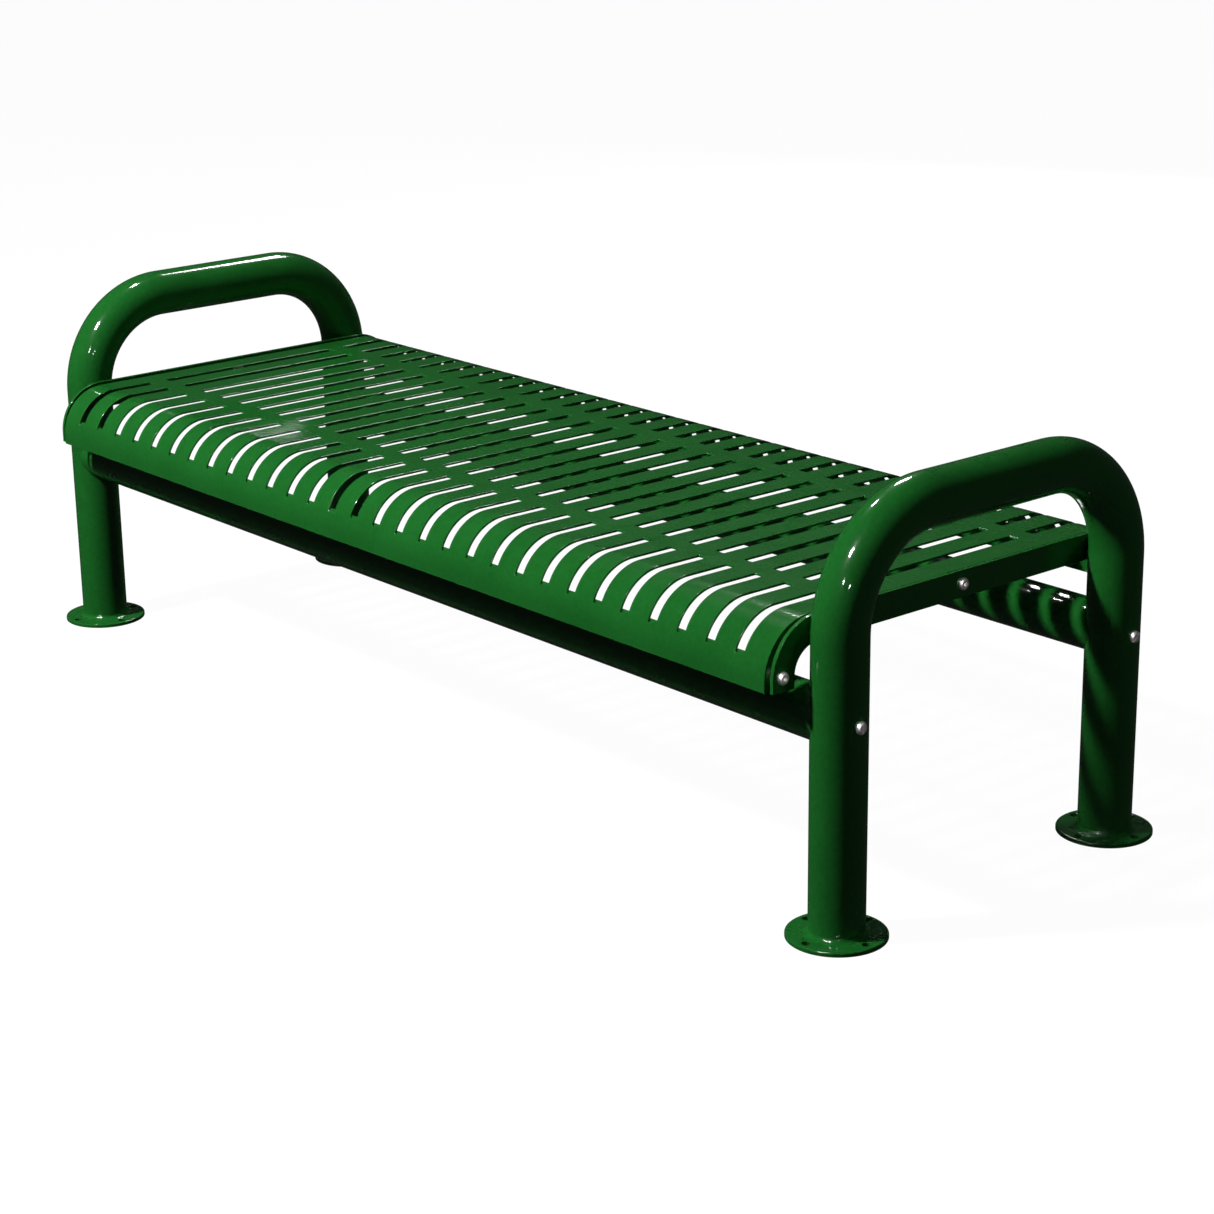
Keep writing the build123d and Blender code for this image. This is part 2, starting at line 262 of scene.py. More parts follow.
def stainless():
    """Stainless fasteners: fine turned rings about each axis, with small dull patches."""
    nodes = Nodes("stainless_steel")
    shade = nodes.noise(700.0, 3.0)
    colour = nodes.ramp(
        shade,
        (0.35, (0.50, 0.48, 0.47)),
        (0.65, (0.68, 0.66, 0.65)),
    )
    nodes.link(colour, nodes.shader, "Base Color")
    nodes.shader.inputs["Metallic"].default_value = 1.0
    radius = nodes.tree.nodes.new("ShaderNodeAttribute")
    radius.attribute_name = "turn_radius"
    rings = nodes.tree.nodes.new("ShaderNodeTexNoise")
    rings.noise_dimensions = "1D"
    rings.inputs["Scale"].default_value = 6000.0
    rings.inputs["Detail"].default_value = 2.0
    nodes.link(radius.outputs["Fac"], rings, "W")
    gloss = nodes.remap(nodes.noise(260.0, 3.0), 0.3, 0.7, 0.36, 0.50)
    nodes.link(gloss, nodes.shader, "Roughness")
    turned = nodes.bump(rings.outputs["Fac"], TURNED_RING_HEIGHT, 0.6)
    nodes.link(turned, nodes.shader, "Normal")
    return nodes.material


GREEN = powder_coat("green_powder_coat", COAT_SAG)
FOOT_GREEN = powder_coat("green_powder_coat_on_feet", FOOT_COAT_SAG)
STEEL = stainless()


# ---- Mesh building ----------------------------------------------------------------------


def piece(name, mesh, material, *cad_nodes):
    """Turn a finished bmesh into a piece that stands for the named CAD nodes."""
    bmesh.ops.remove_doubles(mesh, verts=mesh.verts, dist=1e-7)
    bmesh.ops.recalc_face_normals(mesh, faces=mesh.faces)
    for face in mesh.faces:
        face.smooth = True
    for edge in mesh.edges:
        edge.smooth = edge.is_manifold and edge.calc_face_angle(math.pi) < SMOOTH_ANGLE
    data = bpy.data.meshes.new(name)
    mesh.to_mesh(data)
    mesh.free()
    data.materials.append(material)
    made = bpy.data.objects.new(name, data)
    bpy.context.scene.collection.objects.link(made)
    normals = made.modifiers.new("normals", "WEIGHTED_NORMAL")
    normals.keep_sharp = True
    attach(made, BODY)
    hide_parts(*cad_nodes)
    return made


def bridge(mesh, rings, closed=True):
    """Quads between rings of vertices that have the same number of points."""
    for first, second in zip(rings, rings[1:]):
        count = len(first)
        for i in range(count if closed else count - 1):
            j = (i + 1) % count
            mesh.faces.new((first[i], first[j], second[j], second[i]))


def ring_of(mesh, points):
    return [mesh.verts.new(point) for point in points]


def circle(count, turn=0.0):
    """Unit directions round a circle."""
    step = 2 * math.pi / count
    return [(math.cos(turn + i * step), math.sin(turn + i * step)) for i in range(count)]


def quarter(count):
    """Angles from 0 to 90 degrees."""
    return [math.pi / 2 * i / count for i in range(count + 1)]


def lathe(mesh, profile, place, count=64, closed=False):
    """Turn (radius, height) points about the Z axis of place. Returns the rings."""
    rings = [
        ring_of(mesh, [place @ Vector((r * c, r * s, h)) for c, s in circle(count)])
        for r, h in profile
    ]
    bridge(mesh, rings + rings[:1] if closed else rings)
    return rings


def rounded_rectangle(width, low, high, radius, steps=4):
    """Closed outline with rounded corners, centred on u and from low to high in v."""
    points = []
    corners = [
        (width / 2 - radius, high - radius, 0),
        (-width / 2 + radius, high - radius, 90),
        (-width / 2 + radius, low + radius, 180),
        (width / 2 - radius, low + radius, 270),
    ]
    for u, v, start in corners:
        for i in range(steps + 1):
            angle = math.radians(start + 90 * i / steps)
            points.append((u + radius * math.cos(angle), v + radius * math.sin(angle)))
    return points


# ---- End frames -------------------------------------------------------------------------


def frame_path():
    """Centre line of one end frame in the YZ plane, as (y, z, direction y, direction z)."""
    inner_y = LEG_Y - BEND_RADIUS
    bend_z = ARM_Z - BEND_RADIUS
    steps = 40
    path = [(-LEG_Y, LEG_FOOT_Z + bend_z * i / 6, 0.0, 1.0) for i in range(6)]
    path = [(y, min(z, bend_z), dy, dz) for y, z, dy, dz in path]
    for i in range(steps + 1):
        angle = math.pi / 2 * i / steps
        path.append(
            (
                -inner_y - BEND_RADIUS * math.cos(angle),
                bend_z + BEND_RADIUS * math.sin(angle),
                math.sin(angle),
                math.cos(angle),
            )
        )
    mirrored = [(-y, z, dy, -dz) for y, z, dy, dz in reversed(path)]
    return path + mirrored


def end_frame(side_name, side):
    mesh = bmesh.new()
    outer, inner = [], []
    for y, z, along_y, along_z in frame_path():
        across = Vector((0, along_z, -along_y))
        centre = Vector((side * LEG_X, y, z))
        for rings, radius in ((outer, PIPE_RADIUS), (inner, PIPE_RADIUS - PIPE_WALL)):
            points = [centre + radius * (c * Vector((1, 0, 0)) + s * across) for c, s in circle(72)]
            rings.append(ring_of(mesh, points))
    bridge(mesh, outer)
    bridge(mesh, inner)
    bridge(mesh, [outer[0], inner[0]])
    bridge(mesh, [outer[-1], inner[-1]])
    piece(f"{side_name}_frame_tube", mesh, GREEN, f"{side_name}_end_frame_pipe")


def fill_disc(mesh, outline, holes, hole_circles):
    """Triangles across a flat disc, between its outline and its round holes."""
    loops = [outline, *holes]
    vertices = [vertex for loop in loops for vertex in loop]
    numbers, edges = 0, []
    for loop in loops:
        count = len(loop)
        edges += [(numbers + i, numbers + (i + 1) % count) for i in range(count)]
        numbers += count
    flat = [Vector((v.co.x, v.co.y)) for v in vertices]
    made = delaunay_2d_cdt(flat, edges, [], 0, 1e-8)
    source = [origins[0] for origins in made[3]]
    for triangle in made[2]:
        middle = sum((made[0][i] for i in triangle), Vector((0, 0))) / 3
        if any((middle - centre).length < radius for centre, radius in hole_circles):
            continue
        mesh.faces.new([vertices[source[i]] for i in triangle])


def base_flange(node, centre_x, centre_y):
    mesh = bmesh.new()
    underside = BASE_UNDERSIDE_ROUNDING
    place = Matrix.Translation((centre_x, centre_y, 0))
    outer = [
        (
            BASE_RADIUS - BASE_ROUNDING * (1 - math.sin(a)),
            BASE_TOP - BASE_ROUNDING * (1 - math.cos(a)),
        )
        for a in quarter(6)
    ]
    outer += [
        (BASE_RADIUS - underside * (1 - math.cos(a)), underside * (1 - math.sin(a)))
        for a in quarter(3)
    ]
    rim = lathe(mesh, outer, place, 120)
    tops, bottoms, top_gaps, bottom_gaps = [], [], [], []
    holes = [(centre_x, centre_y, BASE_VENT_RADIUS)]
    for c, s in circle(ANCHOR_COUNT):
        holes.append((centre_x + ANCHOR_CIRCLE * c, centre_y + ANCHOR_CIRCLE * s, ANCHOR_RADIUS))
    for x, y, radius in holes:
        wall = [
            (radius + HOLE_ROUNDING * (1 - math.sin(a)), BASE_TOP - HOLE_ROUNDING * (1 - math.cos(a)))
            for a in quarter(4)
        ]
        wall += [(radius, underside), (radius + underside / 2, 0)]
        rings = lathe(mesh, wall, Matrix.Translation((x, y, 0)), 40)
        tops.append(rings[0])
        bottoms.append(rings[-1])
        top_gaps.append((Vector((x, y)), wall[0][0]))
        bottom_gaps.append((Vector((x, y)), wall[-1][0]))
    fill_disc(mesh, rim[0], tops, top_gaps)
    fill_disc(mesh, rim[-1], bottoms, bottom_gaps)
    piece(f"{node}_disc", mesh, FOOT_GREEN, node)


def foot_welds():
    """Painted fillet weld round each foot, with shallow ripples."""
    mesh = bmesh.new()
    segments, profile_steps = 264, 8
    arc_radius = 1.6 * FOOT_WELD_LEG
    chord = FOOT_WELD_LEG * math.sqrt(2)
    hollow = arc_radius - math.sqrt(arc_radius**2 - (chord / 2) ** 2)
    for side in SIDES.values():
        for row in ROWS.values():
            centre = Vector((side * LEG_X, row * LEG_Y, BASE_TOP))
            rings = []
            for step in range(profile_steps + 1):
                t = step / profile_steps
                inset = 4 * hollow * t * (1 - t) / math.sqrt(2)
                radius = PIPE_RADIUS + FOOT_WELD_LEG * (1 - t) - inset
                height = FOOT_WELD_LEG * t - inset
                points = []
                for i, (c, s) in enumerate(circle(segments)):
                    wave = math.cos(2 * math.pi * FOOT_WELD_RIPPLES * i / segments + 2.6 * t)
                    lift = FOOT_WELD_RIPPLE_HEIGHT * (wave - 1) * math.sin(math.pi * t)
                    points.append(centre + Vector(((radius + lift) * c, (radius + lift) * s, height)))
                rings.append(ring_of(mesh, points))
            at_pipe = [centre + PIPE_RADIUS * Vector((c, s, 0)) for c, s in circle(segments)]
            root = ring_of(mesh, at_pipe)
            bridge(mesh, [*rings, root, rings[0]])
    piece("foot_fillet_welds", mesh, FOOT_GREEN, "foot_weld_beads")


def rib_welds():
    """Short upright beads in the corners between each leg and its rib."""
    low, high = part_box("rib_weld_beads")
    mesh = bmesh.new()
    steps = 24
    bead_x = rib_high.x + RIB_WELD_OFFSET_X
    for side in SIDES.values():
        for row in ROWS.values():
            for way in (-1, 1):
                bead_y = row * LEG_Y + way * RIB_WELD_OFFSET_Y
                centre = Vector((side * bead_x, bead_y, low.z))
                rings = []
                for i in range(steps + 1):
                    t = i / steps
                    end = min(1.0, 5.5 * t, 5.5 * (1 - t))
                    swell = RIB_WELD_RADIUS * math.sqrt(max(0.04, end * (2 - end)))
                    swell *= 1 + 0.035 * math.cos(2 * math.pi * 7 * t)
                    height = (high.z - low.z) * t
                    points = []
                    for c, s in circle(20):
                        reach = min(max(side * swell * c, -RIB_WELD_BURIED), swell) * side
                        points.append(centre + Vector((reach, swell * s, height)))
                    rings.append(ring_of(mesh, points))
                bridge(mesh, rings)
                mesh.faces.new(rings[0])
                mesh.faces.new(rings[-1])
    piece("rib_corner_welds", mesh, GREEN, "rib_weld_beads")


# ---- Rails ------------------------------------------------------------------------------


def rail(row_name, row):
    """Straight pipe, coped at both ends to fit round the legs."""
    mesh = bmesh.new()
    edge = RAIL_END_ROUNDING
    cope = PIPE_RADIUS + RAIL_COPE_GAP

    def ring(side, radius, back):
        points = []
        for c, s in circle(96):
            reach = LEG_X - math.sqrt(cope**2 - (radius * c) ** 2) - back
            points.append((side * reach, row * LEG_Y + radius * c, RAIL_Z + radius * s))
        return ring_of(mesh, points)

    inner_radius = RAIL_RADIUS - PIPE_WALL
    rings = []
    for side in (-1, 1):
        rounding = [
            ring(side, RAIL_RADIUS - edge * (1 - math.sin(a)), edge * (1 - math.cos(a)))
            for a in quarter(3)
        ]
        inside = [ring(side, inner_radius, RAIL_BORE_END), ring(side, inner_radius, 0)]
        end = inside + rounding
        rings += end if side < 0 else list(reversed(end))
    bridge(mesh, rings + rings[:1])
    piece(f"{row_name}_rail_tube", mesh, GREEN, f"{row_name}_rail")


# ---- Ribs and end flanges ---------------------------------------------------------------


def rolled_stations(half_depth, top, roll_radius, end_z, roll_steps=36, flat_steps=16):
    """Stations along a rolled section's outer face: (y, z, normal y, normal z)."""
    centre_y = half_depth - roll_radius
    centre_z = top - roll_radius
    front = [(-half_depth, end_z, -1.0, 0.0)]
    for i in range(roll_steps + 1):
        angle = math.pi / 2 * i / roll_steps
        c, s = math.cos(angle), math.sin(angle)
        front.append((-centre_y - roll_radius * c, centre_z + roll_radius * s, -c, s))
    flat = [(centre_y * (2 * i / flat_steps - 1), top, 0.0, 1.0) for i in range(1, flat_steps)]
    rear = [(-y, z, -ny, nz) for y, z, ny, nz in reversed(front)]
    return front + flat + rear


def rolled_bar(name, node, x_low, x_high, half_depth, top, roll_radius, depth, end_z):
    """Flat bar bent edgeways to the seat's section, with all its edges rounded."""
    mesh = bmesh.new()
    centre_x = (x_low + x_high) / 2
    width = x_high - x_low
    stations = rolled_stations(half_depth, top, roll_radius, end_z)
    end_rings = [
        (PLATE_ROUNDING * (1 - math.sin(a)), PLATE_ROUNDING * (1 - math.cos(a))) for a in quarter(4)
    ]

    def ring(station, inset, lift):
        y, z, ny, nz = station
        outline = rounded_rectangle(
            width - 2 * inset, inset - depth, -inset, PLATE_ROUNDING - 0.98 * inset
        )
        return ring_of(mesh, [(centre_x + u, y + v * ny, z + lift + v * nz) for u, v in outline])

    rings = [ring(stations[0], inset, lift) for inset, lift in end_rings]
    rings += [ring(station, 0, 0) for station in stations[1:-1]]
    rings += [ring(stations[-1], inset, lift) for inset, lift in reversed(end_rings)]
    bridge(mesh, rings)
    mesh.faces.new(rings[0])
    mesh.faces.new(rings[-1])
    piece(name, mesh, GREEN, node)


# ---- Seat sheet -------------------------------------------------------------------------

ROLL_Y = SEAT_HALF_DEPTH - ROLL_RADIUS
ROLL_Z = SEAT_TOP - ROLL_RADIUS
ROLL_LENGTH = ROLL_RADIUS * math.pi / 2
SHEET_END = ROLL_Y + ROLL_LENGTH + ROLL_Z - APRON_BOTTOM
SLOT_SPANS = [
    (-ROLL_Y - ROLL_RADIUS * OUTER_SLOT_ROLL, -OUTER_SLOT_START),
    (-MIDDLE_SLOT_HALF, MIDDLE_SLOT_HALF),
    (OUTER_SLOT_START, ROLL_Y + ROLL_RADIUS * OUTER_SLOT_ROLL),
]


def on_sheet(x, along, depth):
    """Point at a distance along the unrolled sheet from its middle, and a depth below its face."""
    way = -1 if along < 0 else 1
    distance = abs(along)
    if distance <= ROLL_Y:
        return (x, along, SEAT_TOP - depth)
    if distance <= ROLL_Y + ROLL_LENGTH:
        angle = (distance - ROLL_Y) / ROLL_RADIUS
        radius = ROLL_RADIUS - depth
        return (x, way * (ROLL_Y + radius * math.sin(angle)), ROLL_Z + radius * math.cos(angle))
    drop = distance - ROLL_Y - ROLL_LENGTH
    return (x, way * (SEAT_HALF_DEPTH - depth), ROLL_Z - drop)


def half_width(along):
    """Half the slot's width at this distance; its rounded corners narrow it at the ends."""
    straight = SLOT_WIDTH / 2 - SLOT_CORNER
    for start, end in SLOT_SPANS:
        inside = min(along - start, end - along)
        if inside > 0:
            short = max(0.0, SLOT_CORNER - inside)
            return straight + math.sqrt(SLOT_CORNER**2 - short**2)
    return straight


def sheet_rows():
    """Distances along the sheet where it needs a row of points."""
    corner = [SLOT_CORNER * (1 - math.cos(a)) for a in quarter(4)]
    rows = set()
    for start, end in SLOT_SPANS:
        rows |= {round(start + c, 7) for c in corner}
        rows |= {round(end - c, 7) for c in corner}
    roll_steps = 36
    fine = [ROLL_Y + ROLL_LENGTH * i / roll_steps for i in range(roll_steps + 1)]
    fine.append(SHEET_END)
    flat_steps = 24
    coarse = [ROLL_Y * i / flat_steps for i in range(flat_steps)]
    for value in fine + coarse:
        for along in (value, -value):
            if all(abs(along - row) > 0.9 * MM for row in rows):
                rows.add(round(along, 7))
    return sorted(rows)


def round_edges(mesh, edges, radius, segments):
    bmesh.ops.bevel(
        mesh,
        geom=edges,
        offset=radius,
        segments=segments,
        profile=0.5,
        affect="EDGES",
        clamp_overlap=True,
    )


def add_hem(mesh, row):
    """Doubled edge inside an apron, up to just above the lower ends of the slots.

    A guess: the photo only shows a dark bar behind each slot there.
    """
    rounding = HEM_ROUNDING
    outer = ROLL_RADIUS - SHEET - HEM_GAP
    turn = math.asin((HEM_TOP - ROLL_Z) / outer)
    stations = [(-outer, APRON_BOTTOM - ROLL_Z + rounding, 1.0, 0.0)]
    for i in range(15):
        c, s = math.cos(turn * i / 14), math.sin(turn * i / 14)
        stations.append((-outer * c, outer * s, c, s))
    faces = []
    for depth, inset in ((0.0, rounding), (rounding, 0.0), (SHEET - rounding, 0.0), (SHEET, rounding)):
        line = []
        for number, (y, z, c, s) in enumerate(stations):
            last = number in (0, len(stations) - 1)
            along = -inset if number else inset
            shift = along if last else 0.0
            line.append((y + depth * c + shift * s, z - depth * s + shift * c))
        faces.append(line)
    outline = faces[0] + faces[1][-1:] + faces[2][-1:] + faces[3][::-1] + faces[2][:1] + faces[1][:1]
    ends = []
    for x in (-HEM_HALF_LENGTH, HEM_HALF_LENGTH):
        ends.append(ring_of(mesh, [(x, row * (ROLL_Y - y), ROLL_Z + z) for y, z in outline]))
    bridge(mesh, ends)
    for end in ends:
        mesh.faces.new(end)


def seat_sheet():
    """Slotted sheet, rolled down at front and rear, with every cut edge rounded by its coat."""
    mesh = bmesh.new()
    rows = sheet_rows()
    centres = [(i - (SLOT_COUNT - 1) / 2) * SLOT_PITCH for i in range(SLOT_COUNT)]
    grids = []
    for depth in (0.0, SHEET):
        grid = []
        for along in rows:
            half = half_width(along)
            edges = [x + way * half for x in centres for way in (-1, 1)]
            xs = [-SEAT_HALF_LENGTH, *edges, SEAT_HALF_LENGTH]
            grid.append(ring_of(mesh, [on_sheet(x, along, depth) for x in xs]))
        grids.append(grid)
    for row in range(len(rows) - 1):
        middle = (rows[row] + rows[row + 1]) / 2
        open_row = any(start < middle < end for start, end in SLOT_SPANS)
        for column in range(len(grids[0][0]) - 1):
            if open_row and column % 2 == 1:
                continue
            for grid, order in zip(grids, (1, -1)):
                corners = [
                    grid[row][column],
                    grid[row][column + 1],
                    grid[row + 1][column + 1],
                    grid[row + 1][column],
                ]
                mesh.faces.new(corners[::order])
    partner = {}
    for upper, lower in zip(*grids):
        partner.update(zip(upper, lower))
    rim = [edge for edge in mesh.edges if edge.is_boundary and edge.verts[0] in partner]
    for edge in rim:
        a, b = edge.verts
        mesh.faces.new((a, b, partner[b], partner[a]))
    loose = [vertex for vertex in mesh.verts if not vertex.link_faces]
    bmesh.ops.delete(mesh, geom=loose, context="VERTS")
    bmesh.ops.recalc_face_normals(mesh, faces=mesh.faces)
    upper = {vertex for ring in grids[0] for vertex in ring if vertex.is_valid}
    sharp = [edge for edge in mesh.edges if edge.calc_face_angle(0.0) > SHARP_EDGE]
    over = [edge for edge in sharp if edge.verts[0] in upper and edge.verts[1] in upper]
    under = [edge for edge in sharp if edge.verts[0] not in upper and edge.verts[1] not in upper]
    round_edges(mesh, over, SHEET_TOP_ROUNDING, 5)
    round_edges(mesh, [edge for edge in under if edge.is_valid], SHEET_UNDER_ROUNDING, 2)
    for row in ROWS.values():
        add_hem(mesh, row)
    piece("seat_sheet", mesh, GREEN, "seat_panel")


# ---- Fasteners --------------------------------------------------------------------------


def outward(side, x, y, z, turn=0.0):
    """Placement at one end of the bench whose Z axis points outwards."""
    axes = Matrix(((0, 0, side), (side, 0, 0), (0, 1, 0))).to_4x4()
    return Matrix.Translation((side * x, y, z)) @ axes @ Matrix.Rotation(turn, 4, "Z")


def hexagon_radius(angle, flats):
    sixth = math.pi / 3
    return flats / 2 / math.cos((angle + sixth / 2) % sixth - sixth / 2)


def head_profile():
    """Rounded head from its seat to the edge of its flat crown."""
    profile = [
        (BOLT_RADIUS, 0.0),
        (HEAD_RADIUS - HEAD_EDGE_ROUNDING, 0.0),
        (HEAD_RADIUS, HEAD_EDGE_ROUNDING),
        (HEAD_RADIUS, HEAD_RIM),
    ]
    for a in quarter(9)[1:]:
        radius = HEAD_CROWN + (HEAD_RADIUS - HEAD_CROWN) * math.cos(a) ** 0.9
        height = HEAD_RIM + (HEAD_HEIGHT - HEAD_RIM) * math.sin(a) ** 1.1
        profile.append((radius, height))
    return profile


def mark_turning(made, places):
    """Store each point's distance from its own fastener's axis, for the turned rings."""
    data = made.data
    radius = data.attributes.new("turn_radius", "FLOAT", "POINT")
    backs = [place.inverted() for place in places]
    values = []
    for vertex in data.vertices:
        local = [back @ vertex.co for back in backs]
        values.append(min(math.hypot(p.x, p.y) for p in local))
    radius.data.foreach_set("value", values)


def shank(length):
    return [(BOLT_RADIUS - SHANK_CHAMFER, -length), (BOLT_RADIUS, SHANK_CHAMFER - length)]


def socket_bolts(name, node, places, length):
    """Round-headed bolts with a six-sided socket."""
    mesh = bmesh.new()
    count = 72
    step = 2 * math.pi / count
    for place in places:
        rings = lathe(mesh, shank(length) + head_profile(), place, count)
        for grow, height in (
            (1.12, HEAD_HEIGHT),
            (1.03, HEAD_HEIGHT - 0.12 * MM),
            (1.0, HEAD_HEIGHT - 0.4 * MM),
            (1.0, HEAD_HEIGHT - SOCKET_DEPTH),
        ):
            points = []
            for i, (c, s) in enumerate(circle(count)):
                r = grow * hexagon_radius(i * step, SOCKET_FLATS)
                points.append(place @ Vector((r * c, r * s, height)))
            ring = ring_of(mesh, points)
            bridge(mesh, [rings[-1], ring])
            rings.append(ring)
        floor = place @ Vector((0, 0, HEAD_HEIGHT - SOCKET_DEPTH - 0.9 * MM))
        bottom = mesh.verts.new(floor)
        for i in range(count):
            mesh.faces.new((rings[-1][i], rings[-1][(i + 1) % count], bottom))
        mesh.faces.new(rings[0])
    mark_turning(piece(name, mesh, STEEL, node), places)


def slotted_bolts(name, node, places, length):
    """Round-headed bolts with a driver slot cut across the crown."""
    mesh = bmesh.new()
    for place in places:
        crown = [(HEAD_CROWN * 0.5, HEAD_HEIGHT + CROWN_RISE)]
        rings = lathe(mesh, shank(length) + head_profile() + crown, place, 72)
        mesh.faces.new(rings[0])
        mesh.faces.new(rings[-1])
    cutter_mesh = bmesh.new()
    for place in places:
        size = Matrix.Diagonal((3 * HEAD_RADIUS, DRIVER_SLOT_WIDTH, 2 * DRIVER_SLOT_DEPTH, 1))
        raised = Matrix.Translation((0, 0, HEAD_HEIGHT + CROWN_RISE))
        bmesh.ops.create_cube(cutter_mesh, size=1.0, matrix=place @ raised @ size)
    cut_mesh(mesh, cutter_mesh)
    mark_turning(piece(name, mesh, STEEL, node), places)


def cut_mesh(mesh, cutter_mesh):
    """Cut one bmesh with another, in place. The cutter is used up."""
    objects = []
    for source in (mesh, cutter_mesh):
        bmesh.ops.recalc_face_normals(source, faces=source.faces)
        data = bpy.data.meshes.new("cut")
        source.to_mesh(data)
        made = bpy.data.objects.new("cut", data)
        bpy.context.scene.collection.objects.link(made)
        objects.append(made)
    body, cutter = objects
    change = body.modifiers.new("cut", "BOOLEAN")
    change.operation = "DIFFERENCE"
    change.solver = "EXACT"
    change.object = cutter
    bpy.context.view_layer.update()
    evaluated = body.evaluated_get(bpy.context.evaluated_depsgraph_get())
    result = bpy.data.meshes.new_from_object(evaluated)
    mesh.clear()
    mesh.from_mesh(result)
    cutter_mesh.free()
    bpy.data.meshes.remove(result)
    for made in objects:
        data = made.data
        bpy.data.objects.remove(made)
        bpy.data.meshes.remove(data)


def nuts(name, node, side):
    """Plain hexagon nuts, chamfered on both faces."""
    low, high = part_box(node)
    thickness = high.x - low.x
    base_x = max(abs(low.x), abs(high.x))
    mesh = bmesh.new()
    count = 72
    step = 2 * math.pi / count
    chamfer = NUT_CHAMFER
    places = []
    for number, (y, z) in enumerate(SEAT_BOLTS):
        place = outward(side, base_x, y, z, 0.35 * number)
        places.append(place)
        rings = []
        bore = BOLT_RADIUS + THREAD_CLEARANCE
        levels = [(0.0, None), (0.0, NUT_FLATS / 2), (-chamfer * 0.6, NUT_FLATS * 0.58)]
        levels += [(-thickness + chamfer * 0.6, NUT_FLATS * 0.58), (-thickness, NUT_FLATS / 2)]
        levels += [(-thickness, None)]
        for height, limit in levels:
            points = []
            for i, (c, s) in enumerate(circle(count)):
                r = bore if limit is None else min(limit, hexagon_radius(i * step, NUT_FLATS))
                points.append(place @ Vector((r * c, r * s, height)))
            rings.append(ring_of(mesh, points))
        bridge(mesh, rings + rings[:1])
    mark_turning(piece(name, mesh, STEEL, node), places)


# ---- Build every piece ------------------------------------------------------------------

# How each fastener happens to be turned: driver slots in degrees, sockets in radians.
RAIL_SLOT_TURNS = {
    ("left", "front"): 70,
    ("left", "rear"): 20,
    ("right", "front"): 86,
    ("right", "rear"): 40,
}
SOCKET_TURNS = [0.2, 0.5, 0.9]

for side_name, side in SIDES.items():
    end_frame(side_name, side)
    for row_name, row in ROWS.items():
        base_flange(f"{row_name}_{side_name}_base_flange", side * LEG_X, row * LEG_Y)

    rib_xs = sorted((side * rib_low.x, side * rib_high.x))
    rolled_bar(
        f"{side_name}_rib_bar",
        f"{side_name}_end_rib",
        *rib_xs,
        rib_high.y,
        rib_high.z,
        ROLL_RADIUS,
        RIB_DEPTH,
        rib_low.z,
    )
    flange_xs = sorted((side * end_flange_low.x, side * end_flange_high.x))
    rolled_bar(
        f"{side_name}_seat_flange_bar",
        f"{side_name}_seat_end_flange",
        *flange_xs,
        end_flange_high.y,
        end_flange_high.z,
        ROLL_RADIUS - SHEET,
        END_FLANGE_DEPTH,
        end_flange_low.z,
    )

    head_x = rib_high.x
    places = [outward(side, head_x, y, z, turn) for (y, z), turn in zip(SEAT_BOLTS, SOCKET_TURNS)]
    bolts_name = f"{side_name}_seat_bolts"
    socket_bolts(f"{side_name}_seat_bolt_set", bolts_name, places, SEAT_BOLT_LENGTH)
    nuts(f"{side_name}_seat_nut_set", f"{side_name}_seat_bolt_nuts", side)

    places = []
    for row_name, row in ROWS.items():
        turn = math.radians(RAIL_SLOT_TURNS[(side_name, row_name)])
        places.append(outward(side, LEG_X + PIPE_RADIUS, row * LEG_Y, RAIL_Z, turn))
    bolts_name = f"{side_name}_rail_bolts"
    slotted_bolts(f"{side_name}_rail_bolt_set", bolts_name, places, RAIL_BOLT_LENGTH)

for row_name, row in ROWS.items():
    rail(row_name, row)

foot_welds()
rib_welds()
seat_sheet()

# The CAD nodes that stay get the real materials.
for name, node in frame["nodes"].items():
    if node.hide_render:
        continue
    steel = name.endswith(("washers", "spacers"))
    node.data.materials.clear()
    node.data.materials.append(STEEL if steel else GREEN)

# ---- Stage, light and camera -------------------------------------------------------------


def pale_material(name, colour, glow):
    made = bpy.data.materials.new(name)
    made.use_nodes = True
    shader = made.node_tree.nodes["Principled BSDF"]
    shader.inputs["Base Color"].default_value = (*colour, 1)
    shader.inputs["Roughness"].default_value = 0.9
    shader.inputs["Specular IOR Level"].default_value = 0.0
    shader.inputs["Emission Color"].default_value = (1, 1, 1, 1)
    shader.inputs["Emission Strength"].default_value = glow
    return made


def stage_piece(name, mesh, material):
    data = bpy.data.meshes.new(name)
    mesh.to_mesh(data)
    mesh.free()
    data.materials.append(material)
    made = bpy.data.objects.new(name, data)
    bpy.context.scene.collection.objects.link(made)
    made.visible_diffuse = False
    made.visible_glossy = False
    made.visible_shadow = False


STAGE_RADIUS = 24.0
floor_mesh = bmesh.new()
bmesh.ops.create_circle(floor_mesh, cap_ends=True, segments=96, radius=STAGE_RADIUS)
stage_piece("floor", floor_mesh, pale_material("pale_floor", (0.06, 0.06, 0.06), 0.97))

dome_mesh = bmesh.new()
bmesh.ops.create_uvsphere(dome_mesh, u_segments=64, v_segments=32, radius=STAGE_RADIUS)
for vertex in dome_mesh.verts:
    vertex.co.z = max(vertex.co.z, -0.5)
stage_piece("backdrop", dome_mesh, pale_material("pale_backdrop", (0.0, 0.0, 0.0), 1.0))


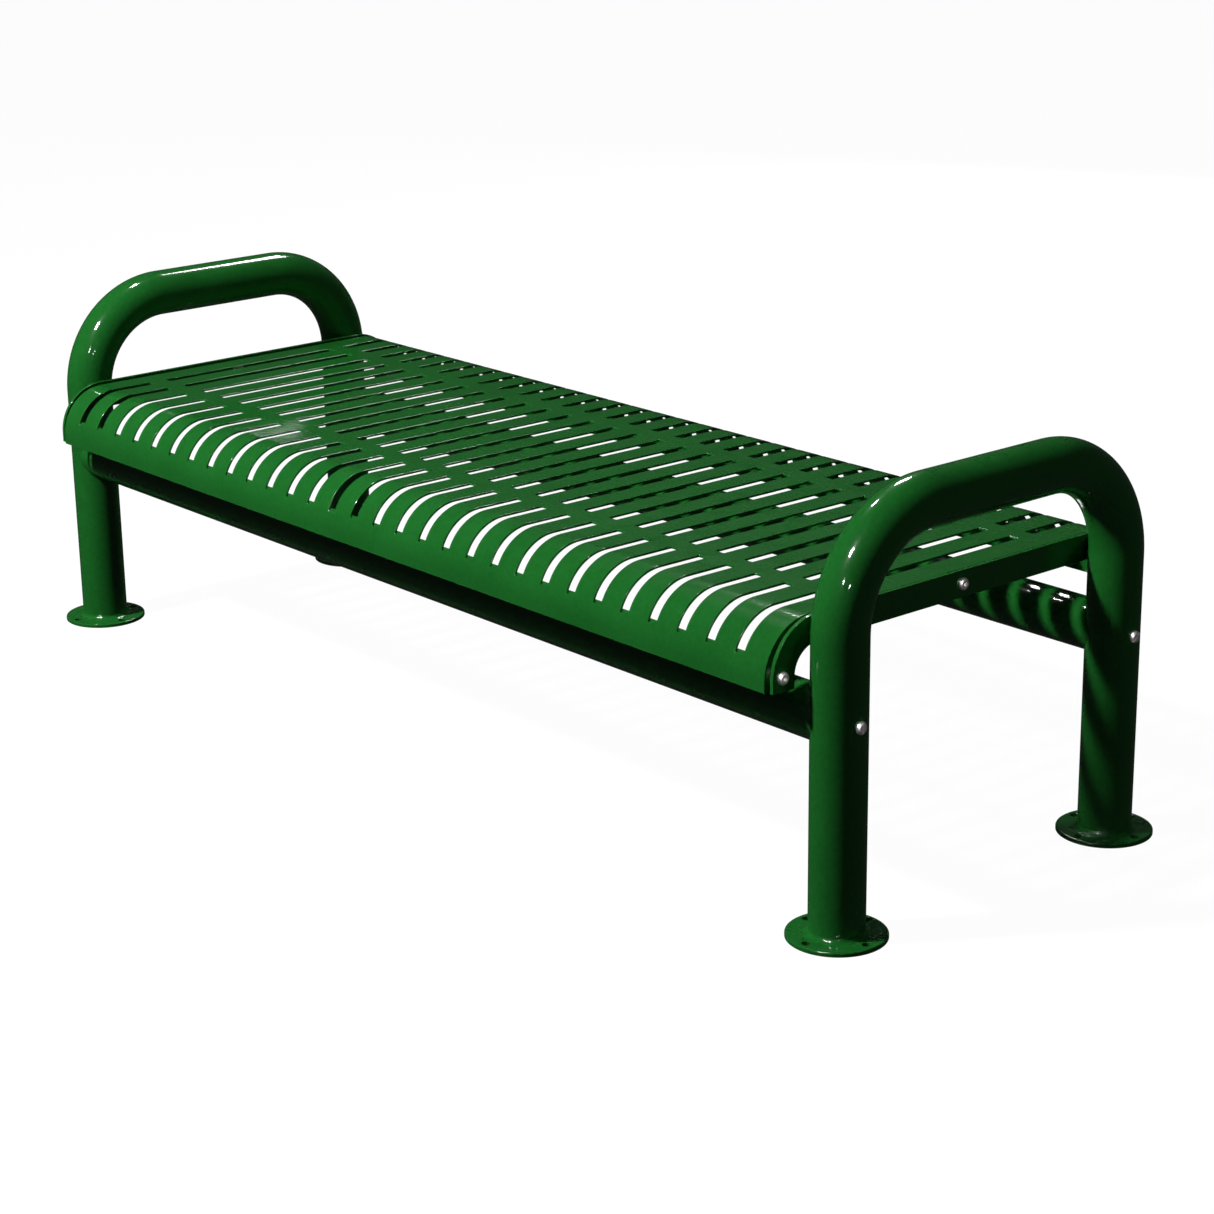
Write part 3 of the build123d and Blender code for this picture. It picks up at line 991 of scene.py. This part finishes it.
def lamp(name, place, size, power, soft=False, glint=False):
    """Square lamp aimed at the bench. A soft one isn't mirrored; a glint only shows mirrored."""
    place = Vector(place)
    light = bpy.data.lights.new(name, "AREA")
    light.size = size
    light.energy = power
    made = bpy.data.objects.new(name, light)
    made.location = place
    made.rotation_mode = "QUATERNION"
    made.rotation_quaternion = (place - Vector((0, 0, 0.35))).to_track_quat("Z", "Y")
    made.visible_glossy = not soft
    made.visible_diffuse = not glint
    bpy.context.scene.collection.objects.link(made)
    return made


lamp("key", (-0.95, -3.1, 3.6), 0.32, 245, soft=True)
lamp("front_wash", (-1.6, -3.6, 4.0), 2.0, 32, soft=True)
lamp("rear_wash", (-2.2, 4.6, 1.7), 2.6, 95, soft=True)
lamp("right_wash", (4.6, 1.6, 1.6), 1.6, 7, soft=True)
lamp("glint_front_high", (1.0, -5.8, 6.8), 0.60, 1300, glint=True)
lamp("glint_front_low", (3.0, -6.1, 3.5), 0.25, 60, glint=True)
lamp("glint_camera", (5.0, -3.9, 2.2), 0.12, 14, glint=True)
lamp("glint_overhead", (-1.25, 0.1, 3.25), 0.24, 40, glint=True)
lamp("glint_rear_left", (-1.95, 2.1, 3.3), 0.70, 60, glint=True)

# The fasteners have a panel of their own, so that bare steel stays bright beside dark paint.
fastener_panel = lamp("fastener_panel", (5.0, -1.6, 2.2), 3.0, 230)
fasteners = bpy.data.collections.new("fasteners")
for made in bpy.data.objects:
    if made.type == "MESH" and made.data.materials and made.data.materials[0] == STEEL:
        fasteners.objects.link(made)
fastener_panel.light_linking.receiver_collection = fasteners

world = bpy.data.worlds.new("studio")
bpy.context.scene.world = world
world.use_nodes = True
world.node_tree.nodes["Background"].inputs["Color"].default_value = (1, 1, 1, 1)
world.node_tree.nodes["Background"].inputs["Strength"].default_value = 0.02

bpy.context.scene.view_settings.view_transform = "Standard"

CAMERA_AZIMUTH = 49.74
CAMERA_ELEVATION = 17.88
CAMERA_ROLL = -0.8
CAMERA_PLACE = (3.287, -2.660, 1.537)
CAMERA_LENS = 83.5


def add_camera():
    a, e, r = (math.radians(v) for v in (CAMERA_AZIMUTH, CAMERA_ELEVATION, CAMERA_ROLL))
    back = Vector((math.sin(a) * math.cos(e), -math.cos(a) * math.cos(e), math.sin(e)))
    right = Vector((math.cos(a), math.sin(a), 0))
    up = back.cross(right)
    rolled_right = math.cos(r) * right + math.sin(r) * up
    rolled_up = math.cos(r) * up - math.sin(r) * right
    camera = bpy.data.cameras.new("camera")
    camera.lens = CAMERA_LENS
    camera.sensor_width = 36
    camera.clip_end = 100
    made = bpy.data.objects.new("camera", camera)
    axes = Matrix((rolled_right, rolled_up, back)).transposed().to_4x4()
    made.matrix_world = Matrix.Translation(CAMERA_PLACE) @ axes
    bpy.context.scene.collection.objects.link(made)
    bpy.context.scene.camera = made


add_camera()
